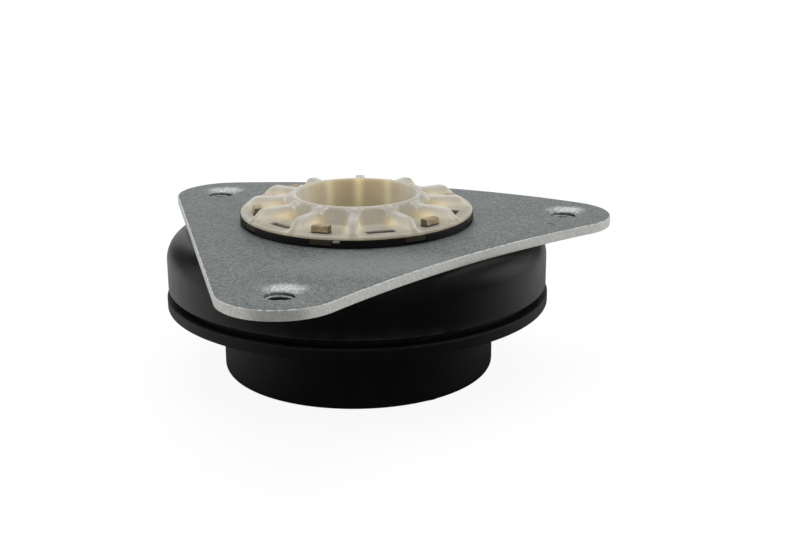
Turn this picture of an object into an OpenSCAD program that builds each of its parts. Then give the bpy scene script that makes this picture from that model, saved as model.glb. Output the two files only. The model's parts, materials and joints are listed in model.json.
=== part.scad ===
// Front strut mount: a three-bolt top plate, a rubber-isolated rod seat with a
// ribbed insert, and a ball bearing that lets the lower spring seat turn.
// The bearing axis is Z, and the hub's lower end lies on Z = 0.

/* [Top plate] */
// Sheet thickness of the plate
plate_t = 3.5; // [3:0.1:4.5]
// Diameter of the circle through the three bolt holes
bolt_circle_d = 158; // [156:0.5:166]
// Distance from the bearing axis to the centre of the bolt circle
plate_offset = 14; // [10:0.5:15]
// Angle of the right-hand bolt hole about the bolt circle's centre
plate_turn = 13; // [8:1:20]
// Corner radius of the plate's lobes
lobe_r = 20.5; // [18:0.5:24]
// Distance from the bolt circle's centre to the centre of a lobe's corner
lobe_reach = 75; // [72:0.5:80]
// Angle by which the two left lobes lie back from the bolts' even spacing
lobe_lag = 1; // [0:0.1:2]
// Radius of the side that bows outwards, between the right and rear lobes
bowed_side_r = 215; // [160:5:400]
// Radius of the side that bows inwards, between the front and right lobes
hollow_side_r = 380; // [300:10:900]
// Diameter of the bolt holes before threading
bolt_core_d = 8.5; // [8:0.1:9]
// Wall of the drawn collar under each bolt hole
bolt_collar_wall = 2; // [1.5:0.1:2.5]
// Height of the drawn collar below the plate
bolt_collar_h = 3; // [2:0.5:4]
// Rounding of the drawn entry at the top of each bolt hole
bolt_entry_r = 2.5; // [1.5:0.1:3]
// Diameter of the plate's central hole
neck_hole_d = 80; // [78:0.5:81]

/* [Bearing cover] */
// Outer diameter of the cover
cover_d = 138.6; // [137:0.2:142]
// Height of the cover below the plate
cover_h = 19.5; // [19:0.1:24]
// Sheet thickness of the cover
cover_t = 2; // [1.5:0.1:2.5]
// Outside radius of the cover's shoulder
shoulder_r = 8.5; // [6:0.5:9]
// Inner diameter of the tube round the isolator
cover_tube_d = 86.4; // [86:0.1:88]
// Outside radius of the bend between the tube and the cover's top
tube_bend_r = 3.5; // [3:0.1:4]
// How far the tube's lower end turns inwards
tube_lip = 1.6; // [1.2:0.1:1.8]
// Depth of the pocket pressed into the cover below the rear bolt
bolt_pocket_h = 8; // [6:0.5:8.5]
// Clearance round the rear bolt's collar inside that pocket
bolt_pocket_gap = 1; // [0.5:0.1:1.2]

/* [Ball bearing] */
// Ball diameter
ball_d = 6; // [5:0.1:6]
// Diameter of the circle through the ball centres
ball_circle_d = 104.6; // [104:0.1:105.2]
// Number of balls
ball_count = 36; // [24:1:38]
// Width of a race ring
race_w = 8; // [7:0.1:8]
// Metal between a ball groove and a race's seat
race_back = 1.4; // [1:0.1:1.8]
// Thickness of the ball cage
cage_t = 2; // [1.5:0.1:2.2]
// Thickness of the upper carrier between the cover and its race
upper_carrier_t = 4.3; // [3.5:0.1:4.5]
// Height of the carriers' shoulders beside the races
carrier_shoulder_h = 2; // [1:0.1:2.2]
// Thickness of those shoulders
carrier_shoulder_w = 1.3; // [1:0.1:1.4]

/* [Spring seat] */
// Outer diameter of the pad's rim
rim_d = 140; // [138:0.5:146]
// Thickness of the pad's rim
rim_t = 4.1; // [3.5:0.1:6]
// Outer diameter of the hub that centres the spring
hub_d = 99.8; // [92:0.2:104]
// Height of the hub below the rim
hub_h = 25.7; // [20:0.1:34]
// Bore through the lower carrier for the bump stop and dust boot
guide_bore_d = 72; // [70:0.2:73]
// Wall of the lower carrier's guide tube
guide_wall = 3.5; // [3:0.1:3.8]
// Thickness of the lower carrier's flange
seat_flange_t = 3.7; // [3.5:0.1:4.2]
// Rounding of the hub's lower edge
hub_edge_r = 2.4; // [1:0.1:3]
// Rounding of the rim's edges
rim_edge_r = 0.5; // [0.2:0.1:1.5]
// Fillet between the hub and the rim
seat_fillet_r = 1.6; // [1:0.1:2]
// Height of the open groove between rim and cover
groove_h = 2.5; // [2:0.1:3]
// Diameter at the bottom of that groove
groove_d = 132; // [128:0.5:133]
// Thickness of the outer seal's foot
seal_t = 1.4; // [1:0.1:1.8]
// Width of the inner seal, round the cover's tube
inner_seal_w = 1.2; // [1:0.1:1.3]
// Room between the guide's neck and the lip of the cover's tube
neck_gap = 2.1; // [1.8:0.1:2.3]
// Height of the snap bead on the guide's neck
bead_h = 1.2; // [0.8:0.1:1.5]
// How far the snap bead reaches over the cover tube's lip
bead_overlap = 0.9; // [0.5:0.1:1.1]

/* [Isolator and rod seat] */
// Diameter of the steel rod core
core_d = 56; // [52:0.5:58]
// Thickness of the rod core
core_t = 4; // [3:0.1:4.5]
// Depth of the rod core's top below the plate's underside
core_drop = 5.8; // [5:0.1:6.5]
// Rod hole in the core
rod_hole_d = 14.2; // [12.2:0.1:16.2]
// Outer diameter of the isolator's lip above the plate
lip_d = 84.8; // [84:0.2:88]
// Height of that lip
lip_h = 2.2; // [2:0.1:4]
// Radius of the flexing groove in the isolator's underside
flex_groove_r = 3.5; // [2.5:0.1:4]

/* [Ribbed insert] */
// Diameter of the insert's flange
flange_d = 84.4; // [83.6:0.2:88]
// Thickness of the insert's flange
flange_t = 1.3; // [1.2:0.1:2]
// Depth of the bay floors below the flange's rim
bay_floor_drop = 0.2; // [0.1:0.1:0.3]
// Inner diameter of the collar round the rod nut
collar_d = 44.2; // [42:0.2:46]
// Wall of the collar
collar_wall = 2.4; // [2:0.1:3]
// Height of the collar above the flange
crown_h = 6.2; // [5.6:0.1:6.4]
// Setback of the collar's outer wall above the ribs
collar_step = 0.2; // [0.1:0.05:0.4]
// Height of the ribs above the flange
rib_h = 4.7; // [4:0.1:5.2]
// Radius out to which the ribs are level, before they round down
crown_flat_r = 36.4; // [35:0.2:37]
// Rounding at the end of that level part, before the slope down to the flange
crown_round_r = 3.6; // [2:0.1:4]
// Width of the flange outside the foot of the ribs
flange_rim_w = 0.7; // [0.6:0.1:1.4]
// Number of ribs, an even number
rib_count = 12; // [8:2:14]
// Rib thickness
rib_t = 3.8; // [2.5:0.1:4]
// Turn of the insert, from a rib at the very front
insert_turn = 2.2; // [0:0.1:4]
// Corner radius of the bays beside the collar
bay_corner_r = 3; // [2:0.1:3.5]
// Width of the open slots in the flange
slot_w = 10; // [8:0.5:11]
// Depth of the open slots, along the radius
slot_depth = 3; // [2:0.1:3.4]

/* [Clip ring] */
// Room for rubber between the clip ring and the plate's central hole
clip_rubber_w = 2.2; // [2:0.1:2.6]
// Radial width of the clip ring
clip_w = 6.6; // [6.2:0.1:6.8]
// Distance from the middle of the clip ring to a tab's centre
tab_reach = 35.8; // [35.4:0.1:36]
// Width of a snap tab
tab_w = 7.2; // [6:0.1:8]
// Thickness of a snap tab, along the radius
tab_t = 2.8; // [2:0.1:3]
// Height of a snap tab above the flange
tab_h = 2.1; // [1.6:0.1:2.6]
// How far a tab's nose reaches over the flange
tab_nose = 0.8; // [0.6:0.1:1]
// Number of lugs that key the clip ring in the lip
lug_count = 8; // [4:1:10]
// Width of those lugs
lug_w = 8; // [6:0.1:9]
// Height of the lugs
lug_h = 1.9; // [1.5:0.1:2]

/* [Fits] */
// Clearance between parts that turn past each other
run_gap = 0.3; // [0.2:0.05:0.4]
// Clearance below the lip of the cover's tube
lip_gap = 1; // [0.6:0.1:1.2]
// Clearance between a ball and its groove or pocket
ball_gap = 0.1; // [0.05:0.01:0.15]
// Clearance round parts that clip or drop together
clip_gap = 0.3; // [0.2:0.05:0.4]
// Small clearance between stacked moulded faces
stack_gap = 0.1; // [0.05:0.01:0.2]
// Larger clearance between the isolator and the parts that turn below it
flex_gap = 0.7; // [0.5:0.1:1]

/* [Hidden] */

$fn = 96;
fine_fn = 360;
// Overrun of a cutting shape past the face it opens
cut = 1;

// Heights, from the hub's end upwards
rim_top = hub_h + rim_t;
cover_z0 = rim_top + groove_h;
plate_z0 = cover_z0 + cover_h;
plate_top = plate_z0 + plate_t;
flange_z0 = plate_top + lip_h;
flange_top = flange_z0 + flange_t;
crown_top = flange_top + crown_h;
rib_top = flange_top + rib_h;
core_top = plate_z0 - core_drop;

// Bearing heights, from the cover's inner face downwards
cover_ceiling = plate_z0 - cover_t;
upper_seat_z = cover_ceiling - upper_carrier_t;
ball_z = upper_seat_z - race_back - ball_gap - ball_d / 2;
lower_seat_z = ball_z - ball_d / 2 - ball_gap - race_back;
// The races leave room for the cage between them
race_h = race_back + ball_gap + ball_d / 2 - cage_t / 2 - run_gap;

// Lower carrier and its snap bead
seat_flange_top = rim_top + seat_flange_t;
tube_lip_z0 = seat_flange_top + lip_gap;
bead_z0 = tube_lip_z0 + cover_t + run_gap;
bead_top = bead_z0 + bead_h;
isolator_z0 = bead_top + flex_gap;

// Radii
ball_circle_r = ball_circle_d / 2;
cover_r = cover_d / 2;
cover_tube_r = cover_tube_d / 2;
cover_tube_or = cover_tube_r + cover_t;
guide_r = guide_bore_d / 2;
guide_or = guide_r + guide_wall;
// The guide's neck passes up inside the lip of the cover's tube
guide_neck_or = cover_tube_r - tube_lip - neck_gap;
guide_neck_r = guide_neck_or - guide_wall;
inner_seal_r = cover_tube_or + run_gap;
inner_seal_or = inner_seal_r + inner_seal_w;
neck_r = neck_hole_d / 2;
clip_r1 = neck_r - clip_rubber_w;
clip_r0 = clip_r1 - clip_w;
clip_seat_z = plate_z0 + stack_gap;
race_in_r = ball_circle_r - race_w / 2;
race_out_r = ball_circle_r + race_w / 2;
shoulder_in_r = race_in_r - clip_gap - carrier_shoulder_w;
shoulder_out_r = race_out_r + clip_gap + carrier_shoulder_w;
// The upper carrier stays clear of the cover's inner bend
upper_carrier_r = max(shoulder_in_r, cover_tube_r + tube_bend_r);
collar_r = collar_d / 2;
collar_or = collar_r + collar_wall;
crown_foot_r = flange_d / 2 - flange_rim_w;
// The rounding leaves room for the slope beyond it
crown_end_r = min(crown_round_r, 0.8 * rib_h, 0.75 * abs(crown_foot_r - crown_flat_r));
// Bays end a little past the foot of the ribs
bay_r = crown_foot_r + flange_rim_w / 3;

// Plate layout
plate_centre = [0, -plate_offset];
bolt_angles = [plate_turn, plate_turn + 120, plate_turn + 240];
lobe_angles = bolt_angles - [0, lobe_lag, lobe_lag];
rear_bolt = bolt_angles[1];
// Sides from the right lobe round to the rear and front ones; 0 is straight, below 0 bows inwards
side_r = [bowed_side_r, 0, -hollow_side_r];
// Sides and slopes lie this much inside the tangents of their round ends, so that they cross them cleanly
side_inset = 0.05;
bolt_core_r = bolt_core_d / 2;
bolt_collar_r = bolt_core_r + bolt_collar_wall;
bolt_pocket_r = bolt_collar_r + bolt_pocket_gap;
// The drawn entry meets the plate's face at a slight angle
entry_lift = bolt_entry_r / 16;

// Insert layout: ribs every rib_pitch, with one near the front
rib_pitch = 360 / rib_count;
front_angle = 270 - insert_turn;

function polar(r, a) = [r * cos(a), r * sin(a)];
function unit(v) = v / norm(v);
function lobe(i) = plate_centre + polar(lobe_reach, lobe_angles[i % 3]);
// Outward normal of the side that runs anticlockwise from a to b
function outward(a, b) = unit([b[1] - a[1], a[0] - b[0]]);
// Centre of a bowed side's arc, on the plate's side for a side that bows outwards
function side_centre(i) =
  let (a = lobe(i), b = lobe(i + 1), arm = side_r[i] - lobe_r, half = norm(b - a) / 2)
    (a + b) / 2 - sign(side_r[i]) * outward(a, b) * sqrt(arm * arm - half * half);

// A ring of rectangular section between two radii and two heights
module ring(r0, r1, z0, z1) {
  translate([0, 0, z0])
    difference() {
      cylinder(r = r1, h = z1 - z0);
      translate([0, 0, -cut]) cylinder(r = r0, h = z1 - z0 + 2 * cut);
    }
}

// A section rectangle given by its radii and heights
module section(r0, r1, z0, z1) {
  translate([r0, z0]) square([r1 - r0, z1 - z0]);
}

// Strip of plate between two lobes, out to a side that is tangent to both but for the inset
module side_strip(i) {
  a = lobe(i);
  b = lobe(i + 1);
  r = side_r[i];
  if (r == 0) {
    step = outward(a, b) * (lobe_r - side_inset);
    polygon([a, a + step, b + step, b]);
  } else {
    o = side_centre(i);
    reach = r / (r - lobe_r) / cos(asin(norm(b - a) / 2 / (r - lobe_r)));
    if (r > 0)
      intersection() {
        translate(o) circle(r = r - side_inset, $fn = fine_fn);
        polygon([a, o + (a - o) * reach, o + (b - o) * reach, b]);
      }
    else
      difference() {
        polygon([a, o, b]);
        translate(o) circle(r = side_inset - r, $fn = fine_fn);
      }
  }
}

module plate_outline() {
  polygon([for (i = [0:2]) lobe(i)]);
  for (i = [0:2]) {
    translate(lobe(i)) circle(r = lobe_r);
    side_strip(i);
  }
}

module at_bolt(a) {
  translate(concat(plate_centre + polar(bolt_circle_d / 2, a), 0)) children();
}

// Bore and rounded entry of one drawn bolt hole
module bolt_cut() {
  rotate_extrude() {
    section(0, bolt_core_r, plate_z0 - bolt_collar_h - cut, plate_top + cut);
    difference() {
      section(0, bolt_core_r + bolt_entry_r, plate_top - bolt_entry_r + entry_lift, plate_top + entry_lift);
      translate([bolt_core_r + bolt_entry_r, plate_top - bolt_entry_r + entry_lift])
        circle(r = bolt_entry_r);
    }
  }
}

module top_plate() {
  color([0.50, 0.52, 0.51])
    difference() {
      union() {
        translate([0, 0, plate_z0]) linear_extrude(plate_t) plate_outline();
        for (a = bolt_angles)
          at_bolt(a)
            translate([0, 0, plate_z0 - bolt_collar_h])
              cylinder(r = bolt_collar_r, h = bolt_collar_h + plate_t / 2);
      }
      translate([0, 0, plate_z0 - cut]) cylinder(r = neck_r, h = plate_t + 2 * cut);
      for (a = bolt_angles) at_bolt(a) bolt_cut();
    }
}

// Quarter of a disc that rounds the corner at a radius and height, towards outer and upper
module quarter(r, z, size) {
  intersection() {
    translate([r, z]) circle(r = size);
    section(r, r + size, z, z + size);
  }
}

// Outer form of the cover's section, from one radius out to its wall
module cover_form(r0, r1, z0, z1, corner) {
  section(r0, r1, z0, z1 - corner);
  section(r0, r1 - corner, z0, z1);
  quarter(r1 - corner, z1 - corner, corner);
}

// Pressed channel: skirt, rounded shoulder, level top, and inner tube with a turned-in lip
module cover_section() {
  difference() {
    cover_form(cover_tube_r + tube_bend_r, cover_r, cover_z0, plate_z0, shoulder_r);
    cover_form(0, cover_r - cover_t, cover_z0 - cut, cover_ceiling, shoulder_r - cover_t);
  }
  section(cover_tube_r, cover_tube_or, tube_lip_z0, plate_z0 - tube_bend_r);
  section(cover_tube_r - tube_lip, cover_tube_or, tube_lip_z0, tube_lip_z0 + cover_t);
  difference() {
    translate([cover_tube_r + tube_bend_r, plate_z0 - tube_bend_r]) circle(r = tube_bend_r);
    translate([cover_tube_r + tube_bend_r, plate_z0 - tube_bend_r]) circle(r = tube_bend_r - cover_t);
    section(0, cover_r, tube_lip_z0, plate_z0 - tube_bend_r);
    section(cover_tube_r + tube_bend_r, cover_r, tube_lip_z0, plate_z0 + cut);
  }
}

module bearing_cover() {
  pocket_z0 = plate_z0 - bolt_pocket_h;
  color([0.10, 0.10, 0.11])
    difference() {
      union() {
        rotate_extrude() cover_section();
        intersection() {
          rotate_extrude() cover_form(0, cover_r, cover_z0, plate_z0, shoulder_r);
          at_bolt(rear_bolt)
            translate([0, 0, pocket_z0 - cover_t])
              cylinder(r = bolt_pocket_r + cover_t, h = bolt_pocket_h + 2 * cover_t);
        }
      }
      at_bolt(rear_bolt) translate([0, 0, pocket_z0]) cylinder(r = bolt_pocket_r, h = bolt_pocket_h + cut);
    }
}

// One bay's angle about the insert; every second bay holds a snap tab
function bay_angle(i) = front_angle + rib_pitch * (i + 0.5);

module at_tab_bays(first) {
  for (i = [first:2:rib_count - 1])
    rotate(bay_angle(i)) translate([tab_reach, 0, 0]) children();
}

module isolator_section() {
  core_r = core_d / 2;
  difference() {
    union() {
      polygon([
        [core_r, isolator_z0], [cover_tube_r, isolator_z0], [cover_tube_r, plate_z0],
        [clip_r0, plate_z0], [core_r, core_top]
      ]);
      section(clip_r1 + stack_gap, neck_r, plate_z0 - stack_gap, plate_top + stack_gap);
      section(clip_r1 + stack_gap, lip_d / 2, plate_top, flange_z0);
    }
    translate([(core_r + cover_tube_r) / 2, isolator_z0]) circle(r = flex_groove_r);
  }
}

module lug_block(width, r1, z0, z1) {
  translate([clip_r1 - clip_w / 2, -width / 2, z0]) cube([r1 - clip_r1 + clip_w / 2, width, z1 - z0]);
}

module at_lugs() {
  for (i = [0:lug_count - 1]) rotate(bay_angle(-1) + i * 360 / lug_count) children();
}

module rubber_isolator() {
  color([0.05, 0.05, 0.05])
    difference() {
      rotate_extrude() isolator_section();
      at_lugs()
        lug_block(lug_w + 2 * clip_gap, lip_d / 2 + cut, flange_z0 - lug_h - clip_gap, flange_z0 + cut);
    }
}

module rod_core() {
  color([0.42, 0.43, 0.45]) ring(rod_hole_d / 2, core_d / 2, core_top - core_t, core_top);
}

// Side view of a snap tab: a stem with a nose that slopes inwards at its tip
module tab_profile() {
  stem_z0 = flange_z0 - lug_h;
  nose_z0 = flange_top + stack_gap;
  tip_z = flange_top + tab_h;
  polygon([
    [-tab_t / 2, stem_z0], [tab_t / 2, stem_z0], [tab_t / 2, nose_z0],
    [tab_t / 2 + tab_nose, nose_z0], [tab_t / 2, tip_z], [-tab_t / 2, tip_z]
  ]);
}

module clip_ring() {
  color([0.52, 0.42, 0.30]) {
    ring(clip_r0, clip_r1, clip_seat_z, flange_z0 - stack_gap);
    at_lugs() lug_block(lug_w, lip_d / 2 - stack_gap, flange_z0 - lug_h, flange_z0 - stack_gap);
    at_tab_bays(1)
      translate([0, tab_w / 2, 0]) rotate([90, 0, 0]) linear_extrude(tab_w) tab_profile();
  }
}

// Outer end of a rib's section: a rounded corner, then a slope that leaves it tangentially to the flange
module crown_end() {
  round_z = rib_top - crown_end_r;
  foot = [crown_foot_r - crown_flat_r, flange_top - round_z];
  touch_angle = atan2(foot[1], foot[0]) + acos(crown_end_r / norm(foot));
  touch = polar(crown_end_r - side_inset, touch_angle);
  quarter(crown_flat_r, round_z, crown_end_r);
  translate([crown_flat_r, round_z])
    polygon([[-cut, 0], [-cut, foot[1] - flange_t / 2], [foot[0], foot[1] - flange_t / 2], foot, touch]);
}

// Section of the insert's collar, flange and crown, before the bays are cut
module insert_section() {
  section(collar_r, collar_or, core_top, rib_top);
  section(collar_r, collar_or - collar_step, core_top, crown_top);
  section(collar_r, flange_d / 2, flange_z0, flange_top);
  section(collar_r, crown_flat_r, flange_z0, rib_top);
  crown_end();
}

// Plan of one bay: rib faces at both sides, rounded corners where they meet the collar
module bay_plan() {
  half = rib_pitch / 2;
  along = polar(1, half);
  across = [along[1], -along[0]];
  corner_off = rib_t / 2 + bay_corner_r;
  corner_reach = collar_or + bay_corner_r;
  s = sqrt(corner_reach * corner_reach - corner_off * corner_off);
  corner = along * s + across * corner_off;
  rib_near = along * s + across * rib_t / 2;
  rib_far = along * flange_d + across * rib_t / 2;
  turn = half - asin(corner_off / corner_reach);
  intersection() {
    circle(r = bay_r);
    union() {
      for (side = [1, -1]) translate([corner[0], corner[1] * side]) circle(r = bay_corner_r);
      polygon([
        corner, rib_near, rib_far, [rib_far[0], -rib_far[1]], [rib_near[0], -rib_near[1]],
        [corner[0], -corner[1]]
      ]);
      difference() {
        polygon([[0, 0], polar(crown_foot_r, turn), polar(crown_foot_r, -turn)]);
        circle(r = collar_or);
      }
    }
  }
}

module slot_cut(depth, width) {
  translate([-depth / 2, -width / 2, flange_z0 - cut]) cube([depth, width, flange_t + 2 * cut]);
}

module top_insert() {
  color([0.82, 0.80, 0.72])
    difference() {
      rotate_extrude() insert_section();
      for (i = [0:rib_count - 1])
        rotate(bay_angle(i))
          translate([0, 0, flange_top - bay_floor_drop])
            linear_extrude(rib_h + bay_floor_drop + cut) bay_plan();
      at_tab_bays(0) slot_cut(slot_depth, slot_w);
      at_tab_bays(1) slot_cut(tab_t + 2 * clip_gap, tab_w + 2 * clip_gap);
    }
}

// Race ring section on either side of the balls, with a groove a little wider than the balls
module race_section(z0) {
  difference() {
    section(race_in_r, race_out_r, z0, z0 + race_h);
    translate([ball_circle_r, ball_z]) circle(r = ball_d / 2 + ball_gap);
  }
}

// Shoulders that hold a race sideways
module carrier_shoulders(z0, z1) {
  section(shoulder_in_r, shoulder_in_r + carrier_shoulder_w, z0, z1);
  section(shoulder_out_r - carrier_shoulder_w, shoulder_out_r, z0, z1);
}

module upper_carrier() {
  color([0.16, 0.16, 0.17])
    rotate_extrude() {
      section(upper_carrier_r, shoulder_out_r, upper_seat_z, cover_ceiling);
      section(shoulder_in_r, shoulder_out_r, upper_seat_z, upper_seat_z + carrier_shoulder_w);
      carrier_shoulders(upper_seat_z - carrier_shoulder_h, upper_seat_z);
    }
}

module upper_race() {
  color([0.62, 0.63, 0.65]) rotate_extrude() race_section(upper_seat_z - race_h);
}

module lower_race() {
  color([0.62, 0.63, 0.65]) rotate_extrude() race_section(lower_seat_z);
}

module at_balls() {
  for (i = [0:ball_count - 1])
    rotate(i * 360 / ball_count) translate([ball_circle_r, 0, ball_z]) children();
}

module balls() {
  color([0.75, 0.76, 0.78]) at_balls() sphere(d = ball_d);
}

module ball_cage() {
  color([0.60, 0.54, 0.40])
    difference() {
      ring(race_in_r, race_out_r, ball_z - cage_t / 2, ball_z + cage_t / 2);
      at_balls() cylinder(d = ball_d + 2 * ball_gap, h = cage_t + 2 * cut, center = true);
    }
}

// Flange under the bearing, raised seat for the race, and guide tube whose neck has a snap bead
module lower_carrier() {
  bead_r = cover_tube_r - tube_lip + bead_overlap;
  color([0.13, 0.13, 0.14])
    rotate_extrude() {
      section(guide_r, guide_or, 0, seat_flange_top);
      section(guide_neck_r, guide_neck_or, rim_top, bead_top);
      section(guide_neck_r, bead_r, bead_z0, bead_top);
      section(min(guide_r, guide_neck_r), groove_d / 2, rim_top, seat_flange_top);
      section(inner_seal_or, shoulder_out_r, rim_top, lower_seat_z);
      carrier_shoulders(lower_seat_z, lower_seat_z + carrier_shoulder_h);
    }
}

// Lip seal that stands on the carrier's flange and closes the gap to the cover's skirt
module outer_seal() {
  wall_r = cover_r - cover_t - run_gap;
  base_r = groove_d / 2 - run_gap;
  lip_z = lower_seat_z + carrier_shoulder_h;
  color([0.07, 0.07, 0.07])
    rotate_extrude()
      polygon([
        [base_r - 2 * seal_t, seat_flange_top], [base_r, seat_flange_top], [base_r, seat_flange_top + seal_t],
        [wall_r, lip_z], [wall_r - seal_t / 2, lip_z], [base_r - 2 * seal_t, seat_flange_top + seal_t]
      ]);
}

// Collar seal between the raised seat and the cover's tube
module inner_seal() {
  color([0.07, 0.07, 0.07])
    ring(inner_seal_r, inner_seal_or, seat_flange_top, lower_seat_z);
}

module spring_pad() {
  rim_r = rim_d / 2;
  hub_r = hub_d / 2;
  color([0.06, 0.06, 0.06])
    rotate_extrude() {
      difference() {
        section(guide_or, hub_r, 0, rim_top);
        difference() {
          section(hub_r - hub_edge_r, hub_r + cut, -cut, hub_edge_r);
          translate([hub_r - hub_edge_r, hub_edge_r]) circle(r = hub_edge_r);
        }
      }
      section(guide_or, rim_r - rim_edge_r, hub_h, rim_top);
      section(guide_or, rim_r, hub_h + rim_edge_r, rim_top - rim_edge_r);
      for (z = [hub_h + rim_edge_r, rim_top - rim_edge_r])
        translate([rim_r - rim_edge_r, z]) circle(r = rim_edge_r);
      difference() {
        section(hub_r - cut, hub_r + seat_fillet_r, hub_h - seat_fillet_r, hub_h + cut);
        translate([hub_r + seat_fillet_r, hub_h - seat_fillet_r]) circle(r = seat_fillet_r);
      }
    }
}

top_plate();
bearing_cover();
rubber_isolator();
rod_core();
clip_ring();
top_insert();
upper_carrier();
upper_race();
balls();
ball_cage();
lower_race();
lower_carrier();
outer_seal();
inner_seal();
spring_pad();
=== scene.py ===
import json
import math

import bmesh
import bpy
import numpy as np
from mathutils import Matrix, Vector, geometry

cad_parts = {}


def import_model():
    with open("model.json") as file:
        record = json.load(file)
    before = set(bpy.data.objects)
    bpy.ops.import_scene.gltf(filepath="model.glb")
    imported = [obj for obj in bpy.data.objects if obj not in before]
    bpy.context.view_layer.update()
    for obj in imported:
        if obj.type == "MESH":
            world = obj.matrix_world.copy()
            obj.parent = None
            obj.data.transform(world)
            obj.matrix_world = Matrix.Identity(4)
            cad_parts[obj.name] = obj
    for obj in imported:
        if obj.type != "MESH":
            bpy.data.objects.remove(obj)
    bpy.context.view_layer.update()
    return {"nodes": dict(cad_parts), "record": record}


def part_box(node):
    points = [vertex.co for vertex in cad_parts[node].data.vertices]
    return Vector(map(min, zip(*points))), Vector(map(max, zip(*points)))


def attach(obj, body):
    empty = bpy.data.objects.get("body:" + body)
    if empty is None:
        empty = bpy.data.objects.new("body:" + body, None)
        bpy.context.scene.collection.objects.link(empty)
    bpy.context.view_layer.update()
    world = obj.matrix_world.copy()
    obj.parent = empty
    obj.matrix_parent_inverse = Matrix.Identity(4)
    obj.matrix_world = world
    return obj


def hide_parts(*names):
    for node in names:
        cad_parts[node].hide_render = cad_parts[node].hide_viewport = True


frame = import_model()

# Sizes in millimetres, from the frame where it has them
MM = 0.001


def node_span(name):
    """Lowest and highest corner of a node of the frame, in millimetres."""
    low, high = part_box(name)
    return np.array(low) / MM, np.array(high) / MM


def unit(angles):
    """Unit vectors at angles about Z, one row each."""
    return np.stack([np.cos(angles), np.sin(angles)], -1)


def from_axis(points):
    """Distance of points from Z."""
    return np.linalg.norm(points[:, :2], axis=1)


PLATE_TOP = node_span("top_plate")[1][2]
COVER_LOW, COVER_HIGH = node_span("bearing_cover")
COVER_R = COVER_HIGH[0]
PLATE_UNDER = COVER_HIGH[2]
PAD_HIGH = node_span("spring_pad")[1]
RIM_R = PAD_HIGH[0]
RIM_TOP = PAD_HIGH[2]
INSERT_LOW, INSERT_HIGH = node_span("top_insert")
CROWN_TOP = INSERT_HIGH[2]
CORE_LOW, CORE_HIGH = node_span("rod_core")
CARRIER_TOP = node_span("lower_carrier")[1][2]
BOLTS = next(m for m in frame["record"]["mounts"] if m["name"] == "body_bolts")

# Top plate
PLATE_CENTRE = np.array(BOLTS["pos_m"][:2]) / MM
BOLT_CIRCLE_R = BOLTS["dims"]["pcd_mm"] / 2
BOLT_CORE_R = BOLTS["dims"]["hole_r_mm"]
BOLT_ANGLES = np.radians([13.0, 133.0, 253.0])
BOLT_CENTRES = PLATE_CENTRE + BOLT_CIRCLE_R * unit(BOLT_ANGLES)
LOBE_ANGLES = np.radians([13.0, 132.0, 252.0])
LOBE_REACH = 75.0
PLATE_TIP = np.array([PLATE_CENTRE[0] + LOBE_REACH * np.cos(LOBE_ANGLES[2]), node_span("top_plate")[0][1]])
LOBE_R = 20.5
BOWED_SIDE_R = 215.0
STRAIGHT_SIDE_R = 1e9
HOLLOW_SIDE_R = 380.0
PLATE_ROLL = 0.4
PLATE_BURR = 0.3
NECK_R = 40.0
DISH_R = 7.6
DISH_DEPTH = 0.9
COLLAR_WALL = 2.0
COLLAR_DROP = 3.0
THREAD_PITCH = 1.5
THREAD_DEPTH = 0.7
# Burnish of the drawn dishes with a painted highlight: its shift from each bolt towards the back, and its
# half lengths
BURNISH_HIGHLIGHT_SHIFT = np.array([1.0, 4.0])
BURNISH_HIGHLIGHT_HALF = (11.0, 8.6, 4.0)
# Half lengths of the painted shade on the plate's front tip
TIP_SHADE_HALF = (15.0, 5.0, 5.0)
# Painted light ahead of the insert, against the insert's shadow: centre and half lengths
PAINTED_LIGHT_AHEAD = (4.0, -60.0)
PAINTED_LIGHT_AHEAD_HALF = (40.0, 20.0, 8.0)

# Marks on the plate, the dented one painted as shade with a painted highlight: centre, half lengths and turn
# in degrees
DENT_SHADE = (69.6, -12.9), (2.3, 0.75), -49.0
DENT_HIGHLIGHT = (72.0, -15.6), (1.2, 0.5), -49.0
SCUFF = (59.4, -23.4), (1.6, 0.6), -40.0

# Bearing cover
COVER_T = 2.0
SHOULDER_R = 8.5
TUBE_R = 43.2
TUBE_BEND_R = 3.5
TUBE_LIP = 1.6
TUBE_LIP_LOW = COVER_LOW[2] + 2.2
POCKET_R = 7.25
POCKET_DEPTH = 8.0

# Spring seat
HUB_R = 49.9
GUIDE_R = 36.0
GUIDE_WALL = 3.5
RIM_UNDER = 25.7
HUB_EDGE = 2.4
RIM_EDGE = 0.5
SEAT_FILLET = 1.6
GROOVE_R = 66.0
SEAT_FLANGE_T = 3.7
SEAM_Z = 18.4
SEAM_HALF = 0.5
SEAM_H = 0.16
TAG_ANGLE = math.radians(-58.6)
TAG_Z = 0.9
TAG_HALF_W = 1.3
TAG_HALF_H = 0.8
TAG_REACH = 0.5

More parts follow.
